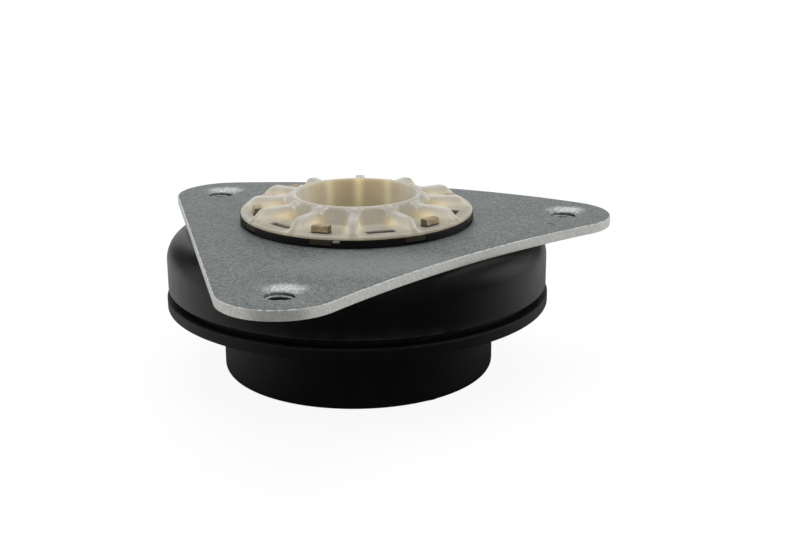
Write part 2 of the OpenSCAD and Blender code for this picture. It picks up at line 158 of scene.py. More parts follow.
# Isolator, clip ring and insert
LIP_R = 42.4
RIB_COUNT = 12
RIB_HALF = 1.9
FRONT = math.radians(267.8)
RIB_PITCH = 2 * math.pi / RIB_COUNT
COLLAR_R = 22.1
COLLAR_OR = 24.5
CROWN_FLAT_R = 35.6
CROWN_ROUND = 4.0
FLANGE_R = 42.2
FLANGE_T = 1.3
CROWN_FOOT_R = FLANGE_R - 0.7
BAY_R = CROWN_FOOT_R + 0.23
RIB_H = 4.2
FLANGE_TOP = CROWN_TOP - 5.7
RIB_TOP = FLANGE_TOP + RIB_H
RIB_SWEEP = 3.2
FLANGE_UNDER = FLANGE_TOP - FLANGE_T
BAY_FLOOR = FLANGE_TOP - 0.2
BAY_CORNER_R = 3.0
CLIP_R0 = 31.2
CLIP_R1 = 37.8
TAB_REACH = 36.2
TAB_TURNS = np.radians([1.0, 0.0, 0.0, 0.0, -2.4, -2.4])
TAB_W = 6.4
TAB_T = 2.8
TAB_H = 2.3
TAB_NOSE = 0.4
SLOT_REACH = 35.8
SLOT_W = 10.0
SLOT_T = 3.0
LUG_ANGLES = np.radians(252.8 + 45.0 * np.arange(8))
LUG_W = 8.0
LUG_H = 1.9
CLIP_GAP = 0.3
STACK_GAP = 0.1
STOP_ANGLE = math.radians(260.4)
STOP_REACH = 41.6
STOP_SIZE = (2.3, 2.4, 0.76)

# Specks of dirt on the flange: centre, half lengths and turn in degrees
SPECKS = (((-41.3, 2.3), (0.6, 0.5), 0.0), ((36.0, -7.9), (0.7, 0.5), 0.0),
          ((-31.6, -9.8), (1.5, 0.3), 0.0), ((31.2, -14.8), (1.4, 0.3), 0.0))

TURNS = 360


# Shader maths

class Signal:
    """A shader socket in Python arithmetic: every operation adds one Math node."""

    def __init__(self, finish, socket):
        self.finish = finish
        self.socket = socket

    def math(self, operation, *values):
        return self.finish.node("ShaderNodeMath", {"operation": operation}, dict(enumerate(values)))

    def __add__(self, other):
        return self.math("ADD", self, other)

    __radd__ = __add__

    def __sub__(self, other):
        return self.math("SUBTRACT", self, other)

    def __rsub__(self, other):
        return self.math("SUBTRACT", other, self)

    def __mul__(self, other):
        return self.math("MULTIPLY", self, other)

    __rmul__ = __mul__

    def above(self, low, high):
        """0 below low, 1 above high and smooth between."""
        sockets = {"Value": self, "From Min": low, "From Max": high}
        return self.finish.node("ShaderNodeMapRange", {"interpolation_type": "SMOOTHSTEP"}, sockets)


class Nodes:
    """Node tree whose nodes all come from one method."""

    def __init__(self, tree):
        self.tree = tree
        tree.nodes.clear()

    def node(self, kind, settings=None, sockets=None, out=0):
        """Adds a node, sets its settings first, then the values or links of its sockets."""
        made = self.tree.nodes.new(kind)
        for key, value in (settings or {}).items():
            setattr(made, key, value)
        for key, value in (sockets or {}).items():
            if isinstance(value, Signal):
                self.tree.links.new(value.socket, made.inputs[key])
            else:
                made.inputs[key].default_value = value
        return Signal(self, made.outputs[out]) if made.outputs else made

    def mixed(self, factor, first, second):
        """Shader that goes from first to second."""
        return self.node("ShaderNodeMixShader", None, {0: factor, 1: first, 2: second})

    def ray(self, kind):
        """1 where a ray of that kind looks."""
        return self.node("ShaderNodeLightPath", out=f"Is {kind} Ray")

    def lit(self, kind, strength):
        """White Emission or Background shader."""
        return self.node(kind, None, {"Color": (1.0, 1.0, 1.0, 1.0), "Strength": strength})


class Finish(Nodes):
    """A procedural material: a Principled shader with constants on its own sockets."""

    def __init__(self, name, **constants):
        self.material = bpy.data.materials.new(name)
        self.material.use_nodes = True
        super().__init__(self.material.node_tree)
        shader = self.node("ShaderNodeBsdfPrincipled")
        self.shader = shader.socket.node
        self.node("ShaderNodeOutputMaterial", None, {"Surface": shader})
        for key, value in constants.items():
            self.shader.inputs[key.replace("_", " ")].default_value = value
        self.place = self.node("ShaderNodeTexCoord", out="Object")

    def feed(self, **signals):
        """Links what changes over the surface to the shader."""
        for key, value in signals.items():
            self.tree.links.new(value.socket, self.shader.inputs[key.replace("_", " ")])
        return self.material

    def noise(self, size, detail=3.0, roughness=0.55, stretch=(1.0, 1.0, 1.0)):
        """Cloudy noise whose lumps are about size millimetres, longer where stretch is above 1."""
        sockets = {"Vector": self.place, "Scale": tuple(1.0 / s for s in stretch)}
        where = self.node("ShaderNodeMapping", {"vector_type": "POINT"}, sockets)
        return self.node("ShaderNodeTexNoise", None, {
            "Vector": where, "Scale": 1.0 / (size * MM), "Detail": detail, "Roughness": roughness})

    def spot(self, centre, half, turn=0.0, core=0.6):
        """1 in the core of an ellipsoid of a centre and half lengths in millimetres, turned about Z, and
        falling to 0 at its surface."""
        sockets = {"Vector": self.place, "Location": tuple(c * MM for c in centre),
                   "Rotation": (0.0, 0.0, math.radians(turn)), "Scale": tuple(h * MM for h in half)}
        where = self.node("ShaderNodeMapping", {"vector_type": "TEXTURE"}, sockets)
        far = self.node("ShaderNodeVectorMath", {"operation": "LENGTH"}, {0: where}, out="Value")
        return 1 - far.above(core, 1.0)

    def mark(self, shape, height, depth):
        """Spot on a level face, from its centre, half lengths and turn."""
        centre, half, turn = shape
        return self.spot((*centre, height), (*half, depth), turn)

    def mask(self, name):
        """A value that the piece's own mesh carries at each corner."""
        return self.node("ShaderNodeAttribute", {"attribute_name": name}, out="Fac")

    def blend(self, factor, first, second):
        """Colour from first to second; each is a triple or a colour signal."""
        first, second = ((*c, 1.0) if isinstance(c, tuple) else c for c in (first, second))
        return self.node("ShaderNodeMix", {"data_type": "RGBA"}, {0: factor, 6: first, 7: second}, out=2)

    def layered(self, colour, *layers):
        """Colour with tones laid over it, each by its own factor."""
        for factor, tone in layers:
            colour = self.blend(factor, colour, tone)
        return colour

    def bump(self, height, depth):
        """Surface relief of the given depth in millimetres."""
        return self.node("ShaderNodeBump", None, {"Height": height, "Strength": 1.0, "Distance": depth * MM})


# Finishes

def zinc_plate():
    """Matte zinc plating with a grainy grey mottle and painted light ahead of the insert, against its
    shadow.
    Its sheared side is pale but for painted shade on the front tip, with painted glints along the rolled
    edge. The drawn dishes carry a burnish with a painted highlight towards their back and right, the thread
    crests a painted highlight, and painted shade deepens down the threads, less on their crests. A dented
    mark painted as shade with a painted highlight at its end, and a scuff, mark its right arm."""
    f = Finish("zinc_plating", Specular_IOR_Level=0.3)
    grain = f.noise(0.9, 3.0, 0.7)
    fine = f.noise(0.4, 2.0, 0.6)
    cloud = f.noise(14.0, 4.0, 0.6)
    # painted light that lifts the plate ahead of the insert, against its shadow
    ahead = f.spot((*PAINTED_LIGHT_AHEAD, PLATE_TOP), PAINTED_LIGHT_AHEAD_HALF, core=0.35)
    tone = grain * 0.5 + fine * 0.38 + cloud * 0.12 + ahead * 0.07
    face = f.blend(tone.above(0.4, 0.6), (0.125, 0.143, 0.139), (0.325, 0.352, 0.347))
    face = f.blend(fine.above(0.62, 0.72) * 0.7, face, (0.58, 0.61, 0.60))
    edge, inner, crest, glint = (f.mask(name) for name in ("edge", "inner", "crest", "glint"))
    cut = f.blend((fine * 0.6 + grain * 0.4).above(0.36, 0.64), (0.68, 0.675, 0.635), (0.95, 0.945, 0.905))
    # painted glints along the rolled edge
    bright = glint * f.noise(2.4, 3.0, 0.6).above(0.42, 0.56)
    # burnish of the dishes and thread crests: lower roughness, and a painted highlight towards the back of
    # each dish
    drawn = sum(f.spot((*c, PLATE_TOP), BURNISH_HIGHLIGHT_HALF, core=0.0) for c in BOLT_CENTRES + BURNISH_HIGHLIGHT_SHIFT)
    burnish_and_highlight = (crest + drawn * (0.4 + 0.9 * (grain * 0.5 + fine * 0.5).above(0.36, 0.6))).above(0.0, 1.0)
    # painted shade on the front tip of the sheared side
    tip = f.spot((*PLATE_TIP, PLATE_UNDER + 1.5), TIP_SHADE_HALF, core=0.3)
    # painted shade of a dented mark and a painted highlight at its end, and a scuff
    dent_shade, dent_highlight, scuff = (f.mark(shape, PLATE_TOP - 0.7, 3.0) for shape in (DENT_SHADE, DENT_HIGHLIGHT, SCUFF))
    cut = f.blend(tip * 0.55, cut, (0.22, 0.215, 0.19))
    # over the face: sheared side, burnish with painted highlight, painted glints, painted shade in the
    # threads, the dented mark's painted shade and highlight, and a scuff
    colour = f.layered(face, (edge, cut), (burnish_and_highlight, (0.97, 0.99, 0.98)), (bright, (0.97, 0.98, 0.97)),
                       (inner * 0.9, (0.03, 0.031, 0.03)), (dent_shade * 0.9, (0.03, 0.032, 0.033)),
                       (dent_highlight * 0.5, (0.75, 0.76, 0.75)), (scuff * 0.35, (0.06, 0.065, 0.065)))
    metal = 0.22 - 0.15 * edge - 0.15 * burnish_and_highlight
    rough = 0.46 + 0.14 * cloud + 0.1 * edge - 0.14 * burnish_and_highlight
    relief = f.bump(grain * 0.55 + fine * 0.45, 0.06)
    return f.feed(Base_Color=colour, Metallic=metal, Roughness=rough, Normal=relief)


def black_coating():
    """Satin black coating on pressed steel: faint orange peel, dust, a few rubbed marks and a paler band
    along the lower edge.
    """
    f = Finish("black_coating", Metallic=0.0, Specular_IOR_Level=0.34)
    peel = f.noise(1.3, 2.0, 0.5)
    dust = f.noise(5.0, 5.0, 0.68)
    rub = f.noise(2.0, 3.0, 0.6, (1.0, 1.0, 0.12)).above(0.66, 0.78)
    colour = f.blend(dust.above(0.42, 0.8), (0.0025, 0.0023, 0.0026), (0.006, 0.0056, 0.0064))
    colour = f.layered(colour, (rub * 0.3, (0.02, 0.02, 0.022)),
                       (f.mask("worn") * dust.above(0.3, 0.6), (0.045, 0.044, 0.046)))
    rough = 0.30 + 0.16 * dust
    return f.feed(Base_Color=colour, Roughness=rough, Normal=f.bump(peel + dust * 0.3, 0.02))


def moulded_rubber():
    """Matte black rubber with a fine moulded grain, bloom patches, pale dust in its grain and paler
    specks along the rim's top edge.
    """
    f = Finish("moulded_rubber", Metallic=0.0, Specular_IOR_Level=0.46)
    grain = f.noise(0.7, 3.0, 0.7)
    bloom = f.noise(11.0, 4.0, 0.6)
    speck = f.noise(0.8, 2.0, 0.5).above(0.68, 0.78) + f.mask("worn") * grain.above(0.35, 0.6) * 2.2
    colour = f.blend(bloom.above(0.35, 0.75), (0.0012, 0.0011, 0.0011), (0.004, 0.0038, 0.0036))
    colour = f.blend(speck * 0.4, colour, (0.02, 0.019, 0.018))
    rough = 0.5 + 0.2 * bloom
    return f.feed(Base_Color=colour, Roughness=rough, Normal=f.bump(grain + bloom * 0.4, 0.09))


def white_nylon():
    """Translucent natural nylon: cloudy off-white, amber where the mesh marks it, partly the thick section's
    own tint and partly painted light shining through from behind, and a painted glow of that light."""
    f = Finish("white_nylon", Metallic=0.0, Subsurface_Weight=0.9, Subsurface_Radius=(1.0, 0.85, 0.6),
               Subsurface_Scale=7.0 * MM, Emission_Strength=3.33)
    cloud = f.noise(6.0, 4.0, 0.6)
    grain = f.noise(0.6, 2.0, 0.6)
    amber, glow, shade = (f.mask(name) for name in ("amber", "glow", "shade"))
    colour = f.blend(cloud.above(0.3, 0.72), (0.35, 0.336, 0.297), (0.40, 0.388, 0.352))
    dirt = f.noise(1.1, 2.0, 0.5).above(0.72, 0.78) * 0.3
    for shape in SPECKS:
        dirt = dirt + f.mark(shape, FLANGE_TOP + 0.1, 2.0)
    dirt = dirt.above(0.0, 1.0)
    colour = f.layered(colour, (amber, (0.37, 0.30, 0.17)), (dirt, (0.05, 0.04, 0.03)),
                       (shade, (0.15, 0.15, 0.175)))
    # painted glow of light shining through the nylon, amber where the mesh marks it
    through = f.blend(amber, (0.145, 0.14, 0.126), (0.33, 0.277, 0.165))
    strength = glow * (0.85 + 0.3 * cloud) * (1 - shade) * (1 - dirt)
    light = f.blend(strength * 0.3, (0.0, 0.0, 0.0), through)
    relief = f.bump(grain * 0.6 + cloud, 0.05)
    return f.feed(Base_Color=colour, Roughness=0.30 + 0.16 * cloud, Emission_Color=light, Normal=relief)


def tan_nylon():
    """Browned nylon of the clips: mottled tan, with painted shade under the insert's flange and dark side
    ends and feet on the tabs.
    """
    f = Finish("tan_nylon", Metallic=0.0)
    cloud = f.noise(2.2, 4.0, 0.65)
    grain = f.noise(0.5, 2.0, 0.6)
    colour = f.blend(cloud.above(0.32, 0.7), (0.42, 0.31, 0.17), (0.66, 0.54, 0.34))
    colour = f.blend(f.mask("edge"), colour, (0.024, 0.016, 0.008))
    rough = 0.42 + 0.2 * cloud
    return f.feed(Base_Color=colour, Roughness=rough, Normal=f.bump(grain + cloud, 0.06))


def plain_steel(name, dark, light, rough):
    """Pressed or ground steel: turned lines round the axis over a cloudy tone."""
    f = Finish(name, Metallic=1.0)
    cloud = f.noise(5.0, 4.0, 0.6)
    lines = f.noise(0.4, 2.0, 0.5, (1.0, 1.0, 0.2))
    colour = f.blend((cloud * 0.7 + lines * 0.3).above(0.35, 0.65), dark, light)
    return f.feed(Base_Color=colour, Roughness=rough + 0.12 * cloud, Normal=f.bump(lines, 0.012))


def black_nylon():
    """Glass-filled black nylon: fine fibre flecks over a dark matte ground."""
    f = Finish("black_nylon", Metallic=0.0)
    fleck = f.noise(0.7, 3.0, 0.7, (2.5, 1.0, 1.0))
    cloud = f.noise(7.0, 3.0, 0.6)
    colour = f.blend(fleck.above(0.5, 0.8), (0.006, 0.006, 0.0065), (0.03, 0.03, 0.032))
    return f.feed(Base_Color=colour, Roughness=0.48 + 0.2 * cloud, Normal=f.bump(fleck, 0.03))


FINISHES = {
    "zinc_steel": zinc_plate(),
    "black_steel": black_coating(),
    "rubber": moulded_rubber(),
    "white_nylon": white_nylon(),
    "tan_nylon": tan_nylon(),
    "black_nylon": black_nylon(),
    "core_steel": plain_steel("core_steel", (0.25, 0.25, 0.26), (0.46, 0.46, 0.47), 0.34),
    "race_steel": plain_steel("race_steel", (0.42, 0.42, 0.43), (0.62, 0.62, 0.63), 0.22),
    "ball_steel": plain_steel("ball_steel", (0.66, 0.66, 0.67), (0.78, 0.78, 0.79), 0.08),
}
SLOT_OF = {row["node"]: row["material_slot"] for row in frame["record"]["subparts"]}


# Mesh building

def full_turn(count):
    """Angles that share out a turn."""
    return np.linspace(0, 2 * np.pi, count, endpoint=False)


def swept(radius, angles, height):
    """Grid of points at radii, angles about Z and heights: x = r cos a, y = r sin a, z = height."""
    return np.stack(np.broadcast_arrays(radius * np.cos(angles), radius * np.sin(angles), height), -1)


def skin(grid, close_rows=False):
    """Points and quads of a grid that is closed along its columns, and along its rows too if asked."""
    rows, columns = grid.shape[:2]
    last = rows if close_rows else rows - 1
    i, j = np.meshgrid(np.arange(last), np.arange(columns), indexing="ij")
    up = (i + 1) % rows
    on = (j + 1) % columns
    here, above = i * columns, up * columns
    faces = np.stack([here + j, here + on, above + on, above + j], -1).reshape(-1, 4).tolist()
    return grid.reshape(-1, 3), faces


def capped(grid):
    """Points and faces of a grid that is closed over its first and its last row."""
    verts, faces = skin(grid)
    first = np.arange(grid.shape[1])
    return verts, faces + [first[::-1].tolist(), (first + len(verts) - len(first)).tolist()]


def rounded(points, radii, step):
    """Closed outline with arcs for corners: each corner's sides are cut back by the radius over the
    tangent of half its angle and joined by the arc that touches both, a point every step degrees."""
    points = np.asarray(points, float)
    parts = []
    for corner, before, after, radius in zip(points, np.roll(points, 1, 0), np.roll(points, -1, 0), radii):
        if radius == 0:
            parts.append(corner[None])
            continue
        back, on = (side / np.linalg.norm(side) for side in (before - corner, after - corner))
        half = np.arccos(np.clip(back @ on, -1, 1)) / 2
        middle = corner + (back + on) / np.linalg.norm(back + on) * radius / np.sin(half)
        first, last = (corner + side * radius / np.tan(half) - middle for side in (back, on))
        start = np.arctan2(first[1], first[0])
        sweep = (np.arctan2(last[1], last[0]) - start + np.pi) % (2 * np.pi) - np.pi
        angle = start + sweep * np.linspace(0, 1, max(3, int(abs(math.degrees(sweep)) / step) + 1))
        parts.append(middle + radius * unit(angle))
    return np.concatenate(parts)


def spaced(outline, gap):
    """Closed outline with points added on its long sides, so that none is longer than gap."""
    nexts = np.roll(outline, -1, 0)
    counts = np.maximum(1, np.ceil(np.linalg.norm(nexts - outline, axis=1) / gap)).astype(int)
    index = np.repeat(np.arange(len(outline)), counts)
    within = np.arange(counts.sum()) - np.repeat(np.cumsum(counts) - counts, counts)
    share = (within / counts[index])[:, None]
    return outline[index] * (1 - share) + nexts[index] * share


def lathe(profile):
    """Closed section of radius and height carried round Z."""
    return skin(swept(profile[:, :1], full_turn(TURNS), profile[:, 1:]), True)


def turned(points, radii, step=15.0, gap=3.0):
    """Closed section with rounded corners carried round Z."""
    return lathe(spaced(rounded(points, radii, step), gap))


def block(size, radius, steps=4):
    """Box with rounded edges: a ball of the radius on a grid of longitude and latitude, its octants
    pushed apart by what is left of the half sizes, and its poles closed by fans of one point."""
    half = np.asarray(size) / 2 - radius
    quarter = np.linspace(0, np.pi / 2, steps + 1)
    around = np.concatenate([quarter + k * np.pi / 2 for k in range(4)])
    side_x = np.repeat([1, -1, -1, 1], steps + 1)
    side_y = np.repeat([1, 1, -1, -1], steps + 1)
    tilt = np.concatenate([quarter - np.pi / 2, quarter])
    side_z = np.repeat([-1, 1], steps + 1)[:, None]
    x = side_x * half[0] + radius * np.cos(tilt)[:, None] * np.cos(around)
    y = side_y * half[1] + radius * np.cos(tilt)[:, None] * np.sin(around)
    z = side_z * half[2] + radius * np.sin(tilt)[:, None]
    return capped(np.stack(np.broadcast_arrays(x, y, z), -1))


def placed(shape, angle, where):
    """Shape turned about Z by angle and then moved."""
    verts, faces = shape
    x, y, z = verts.T
    c, s = math.cos(angle), math.sin(angle)
    return np.stack([x * c - y * s, x * s + y * c, z], -1) + np.asarray(where), faces


def joined(*shapes):
    """Several shapes as one list of points and faces."""
    verts, faces, start = [], [], 0
    for points, polygons in shapes:
        verts.append(points)
        faces.extend([corner + start for corner in face] for face in polygons)
        start += len(points)
    return np.concatenate(verts), faces


def added(name, data):
    """New object of a mesh, a lamp or a camera in the scene."""
    made = bpy.data.objects.new(name, data)
    bpy.context.scene.collection.objects.link(made)
    return made


def solid(name, shape, weld=1e-6, tidy=True):
    """Mesh object of a closed shape in millimetres: doubles merged, faces turned outwards."""
    verts, faces = shape
    mesh = bpy.data.meshes.new(name)
    mesh.from_pydata((np.asarray(verts) * MM).tolist(), [], faces)
    work = bmesh.new()
    work.from_mesh(mesh)
    bmesh.ops.remove_doubles(work, verts=work.verts, dist=weld)
    if tidy:
        bmesh.ops.dissolve_degenerate(work, edges=work.edges, dist=weld)
    bmesh.ops.recalc_face_normals(work, faces=work.faces)
    work.to_mesh(mesh)
    work.free()
    return added(name, mesh)


def cut_from(made, cutter_shape):
    """Takes the cutter's volume out of an object and keeps the result as its mesh."""
    cutter = solid(made.name + "_cutter", cutter_shape)
    step = made.modifiers.new("cut", "BOOLEAN")
    step.operation = "DIFFERENCE"
    step.solver = "EXACT"
    step.object = cutter
    result = bpy.data.meshes.new_from_object(made.evaluated_get(bpy.context.evaluated_depsgraph_get()))
    made.modifiers.clear()
    old = made.data
    made.data = result
    result.name = made.name
    bpy.data.meshes.remove(old)
    bpy.data.objects.remove(cutter)
    return made


def corners(made):
    """The mesh's points in millimetres, one row each."""
    flat = np.empty(len(made.data.vertices) * 3, np.float32)
    made.data.vertices.foreach_get("co", flat)
    return flat.reshape(-1, 3).astype(float) / MM


def carry(made, name, values):
    """Stores a value at each point of the mesh for the material to read."""
    made.data.attributes.new(name, "FLOAT", "POINT").data.foreach_set("value", values.astype(np.float32))


def dress(made, body, node, sharp=35.0):
    """Smooth shading up to an angle, the finish of the node it stands for, and the body it rides on."""
    mesh = made.data
    mesh.polygons.foreach_set("use_smooth", np.ones(len(mesh.polygons), bool))
    mesh.set_sharp_from_angle(angle=math.radians(sharp))
    mesh.materials.clear()
    mesh.materials.append(FINISHES[SLOT_OF[node]])
    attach(made, body)
    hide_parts(node)
    return made


# Top plate

def plate_outline(step=1.2):
    """Outline and outward normals of the plate: arcs of the three lobes joined by a side that bows
    outwards, one that is as good as straight and one that bows inwards, each an arc touching two lobes."""
    lobes = PLATE_CENTRE + LOBE_REACH * unit(LOBE_ANGLES)
    sides = []
    for a, b, bow in zip(lobes, np.roll(lobes, -1, 0), (BOWED_SIDE_R, STRAIGHT_SIDE_R, -HOLLOW_SIDE_R)):
        arm = bow - LOBE_R
        along = (b - a) / np.linalg.norm(b - a)
        back = math.sqrt(arm ** 2 - np.sum((b - a) ** 2) / 4)
        centre = (a + b) / 2 - np.sign(bow) * back * np.array([along[1], -along[0]])
        first, last = ((lobe - centre) / arm for lobe in (a, b))
        count = int(np.linalg.norm(b - a) / step)
        sides.append((centre, bow, math.atan2(*first[::-1]), math.atan2(*last[::-1]), count))
    points, normals = [], []
    for lobe, before, (centre, bow, first, last, count) in zip(lobes, sides[-1:] + sides[:-1], sides):
        sweep = (first - before[3]) % (2 * math.pi)
        normals.append(unit(before[3] + sweep * np.linspace(0, 1, int(sweep * LOBE_R / step))))
        points.append(lobe + LOBE_R * normals[-1])
        turn = (last - first + math.pi) % (2 * math.pi) - math.pi
        normals.append(unit(first + turn * np.linspace(0, 1, count)[1:-1]))
        points.append(centre + bow * normals[-1])
    return np.concatenate(points), np.concatenate(normals)


def inside_loop(points, loop):
    """True for points that a closed loop surrounds: a ray to the right crosses it an odd number of times."""
    x, y = points[:, :1], points[:, 1:]
    ax, ay = loop.T
    bx, by = np.roll(loop, -1, 0).T
    spans = (ay > y) != (by > y)
    rise = np.where(by == ay, 1.0, by - ay)
    return (spans & (x < ax + (y - ay) * (bx - ax) / rise)).sum(1) % 2 == 1


def sheet_face(outline, holes, height, pitch=5.0):
    """Flat face within an outline and round holes: triangles over the loops and a square grid of
    points that stays clear of them."""
    loops = [outline] + holes
    steps = np.arange(-120.0, 120.0, pitch)
    lattice = np.stack(np.meshgrid(steps, steps), -1).reshape(-1, 2)
    rims = np.concatenate(loops)
    clear = np.linalg.norm(lattice[:, None] - rims[None], axis=2).min(1) > 0.6 * pitch

    def on_sheet(points):
        return inside_loop(points, outline) & ~np.any([inside_loop(points, hole) for hole in holes], axis=0)

    lattice = lattice[clear & on_sheet(lattice)]
    edges, start = [], 0
    for loop in loops:
        index = np.arange(len(loop))
        edges.append(np.stack([index, np.roll(index, -1)], -1) + start)
        start += len(loop)
    points = np.concatenate([rims, lattice])
    pairs = [tuple(pair) for pair in np.concatenate(edges).tolist()]
    flat, _, faces = geometry.delaunay_2d_cdt([Vector(p) for p in points], pairs, [], 1, 1e-7)[:3]
    flat, faces = np.array(flat), np.array(faces)
    faces = faces[on_sheet(flat[faces].mean(1))]
    return np.column_stack([flat, np.full(len(flat), height)]), faces.tolist()


def bolt_hole(turns=96):
    """Drawn and threaded hole as a grid of angle and path: a dish whose depth grows with the square of
    the way in, a helix whose radius is the core plus a triangle wave of height over pitch less angle
    over a turn, the end of the collar, its outer wall and a fillet to the plate's underside."""
    angle = full_turn(turns)
    major = BOLT_CORE_R + THREAD_DEPTH
    way = np.linspace(0, 1, 12)
    dish = np.stack([DISH_R + (major + 0.1 - DISH_R) * way, PLATE_TOP - DISH_DEPTH * way ** 2], -1)
    low = PLATE_UNDER - COLLAR_DROP
    depth = np.arange(PLATE_TOP - DISH_DEPTH - 0.12, low + 0.3, -0.12)
    thread = np.stack([np.full_like(depth, major), depth], -1)
    outer = BOLT_CORE_R + COLLAR_WALL
    bend = np.radians(np.linspace(180, 90, 7))
    fillet = 0.9
    foot = np.array([outer + fillet, PLATE_UNDER - fillet]) + fillet * unit(bend)
    ends = np.array([[major + 0.1, low + 0.1], [major + 0.3, low], [outer - 0.3, low], [outer, low + 0.3]])
    path = np.concatenate([dish, thread, ends, foot])
    radius = np.repeat(path[:, :1], turns, 1)
    wave = path[:, 1:] / THREAD_PITCH - angle / (2 * np.pi)
    ridge = np.abs(2 * (wave % 1.0) - 1)
    inside = np.zeros(len(path))
    inside[len(dish):len(dish) + len(thread)] = np.clip(np.arange(len(thread)) / 4, 0, 1)
    radius -= THREAD_DEPTH * ridge * inside[:, None]
    return swept(radius, angle, path[:, 1:])


def top_plate():
    """Pressed plate: the outline carried through a rolled top edge and a sheared side, flat faces
    between the outline, the neck hole and the bolt holes, and a drawn thread in each bolt hole."""
    outline, normal = plate_outline()
    roll = np.radians(np.linspace(90, 0, 7))
    inset = np.concatenate([PLATE_ROLL * (1 - np.cos(roll)), [0.0, 0.03, 0.12, PLATE_BURR]])
    height = np.concatenate([PLATE_TOP - PLATE_ROLL * (1 - np.sin(roll)),
                             [PLATE_UNDER + 1.2, PLATE_UNDER + 0.7, PLATE_UNDER + 0.12, PLATE_UNDER]])
    rows = outline[None] - normal[None] * inset[:, None, None]
    rim = np.concatenate([rows, np.broadcast_to(height[:, None, None], (*rows.shape[:2], 1))], -1)
    neck_r = np.array([NECK_R + 0.6, NECK_R + 0.15, NECK_R, NECK_R, NECK_R + 0.3])
    neck_z = np.array([PLATE_TOP, PLATE_TOP - 0.15, PLATE_TOP - 0.6, PLATE_UNDER + 0.3, PLATE_UNDER])
    neck = swept(neck_r[:, None], full_turn(240), neck_z[:, None])
    hole = bolt_hole()
    holes = [hole + np.append(centre, 0.0) for centre in BOLT_CENTRES]
    faces = [sheet_face(rim[row, :, :2], [neck[row, :, :2]] + [h[row, :, :2] for h in holes], rim[row, 0, 2])
             for row in (0, -1)]
    made = solid("plate", joined(*(skin(grid) for grid in (rim, neck, *holes)), *faces), 2e-6, False)
    points = corners(made)
    apart = np.linalg.norm(points[:, None, :2] - BOLT_CENTRES[None], axis=2).min(1)
    below = PLATE_TOP - points[:, 2]
    side = (apart > DISH_R + 1) & (from_axis(points) > NECK_R + 1)
    carry(made, "edge", side & (below > 0.02))
    # painted glints along the rolled top edge
    carry(made, "glint", side & (below > 0.002) & (below < 0.6 * PLATE_ROLL))
    # painted shade that deepens down the threads, lighter on their crests, which also get a painted
    # highlight
    threads = (below > DISH_DEPTH - 0.05) & (apart < DISH_R + 1)
    crest = apart < BOLT_CORE_R + 0.25
    carry(made, "inner", threads * np.clip((below - DISH_DEPTH) / 1.2, 0, 1) * np.where(crest, 0.25, 1.0))
    carry(made, "crest", threads & crest)
    return dress(made, "body_side", "top_plate", 50.0)


# Bearing cover

def bearing_cover():
    """Pressed channel turned round Z. Above the pocket's floor its radius is held inside the near
    side of a cylinder about the rear bolt, which presses the pocket into the shoulder."""
    ceiling = PLATE_UNDER - COVER_T
    tube_or = TUBE_R + COVER_T
    low = COVER_LOW[2]
    outer = rounded([(COVER_R - COVER_T, low), (COVER_R, low), (COVER_R, PLATE_UNDER), (TUBE_R, PLATE_UNDER),
                     (TUBE_R, TUBE_LIP_LOW + COVER_T), (TUBE_R - TUBE_LIP, TUBE_LIP_LOW + COVER_T),
                     (TUBE_R - TUBE_LIP, TUBE_LIP_LOW), (tube_or, TUBE_LIP_LOW), (tube_or, ceiling),
                     (COVER_R - COVER_T, ceiling)],
                    [0.4, 0.7, SHOULDER_R, TUBE_BEND_R, 0.3, 0.3, 0.5, 1.5, TUBE_BEND_R - COVER_T,
                     SHOULDER_R - COVER_T], 7.5)
    profile = spaced(outer, 2.6)
    angles = full_turn(3 * TURNS // 2)
    bolt = BOLT_CENTRES[1]
    reach = np.linalg.norm(bolt)
    swing = angles - math.atan2(bolt[1], bolt[0])
    radius = np.repeat(profile[:, :1], len(angles), 1)
    inner_side = (np.arange(len(profile)) > np.argmin(profile[:, 0])) & (profile[:, 0] > tube_or - 0.1)
    for rows, size, floor in ((~inner_side, POCKET_R, PLATE_UNDER - POCKET_DEPTH),
                              (inner_side, POCKET_R + COVER_T, PLATE_UNDER - POCKET_DEPTH - COVER_T)):
        across = reach * np.sin(swing)
        inside = (np.abs(across) < size) & (np.cos(swing) > 0)
        near = reach * np.cos(swing) - np.sqrt(np.clip(size ** 2 - across ** 2, 0, None))
        limit = np.where(inside, near, np.inf)
        high = rows & (profile[:, 1] >= floor)
        radius[high] = np.minimum(radius[high], limit)
    made = solid("cover", skin(swept(radius, angles, profile[:, 1:]), True))
    points = corners(made)
    outer = from_axis(points) > COVER_R - 0.8
    carry(made, "worn", outer * np.clip(1 - np.abs(points[:, 2] - low - 0.35) / 0.45, 0, 1))
    return dress(made, "body_side", "bearing_cover", 40.0)


# Spring seat

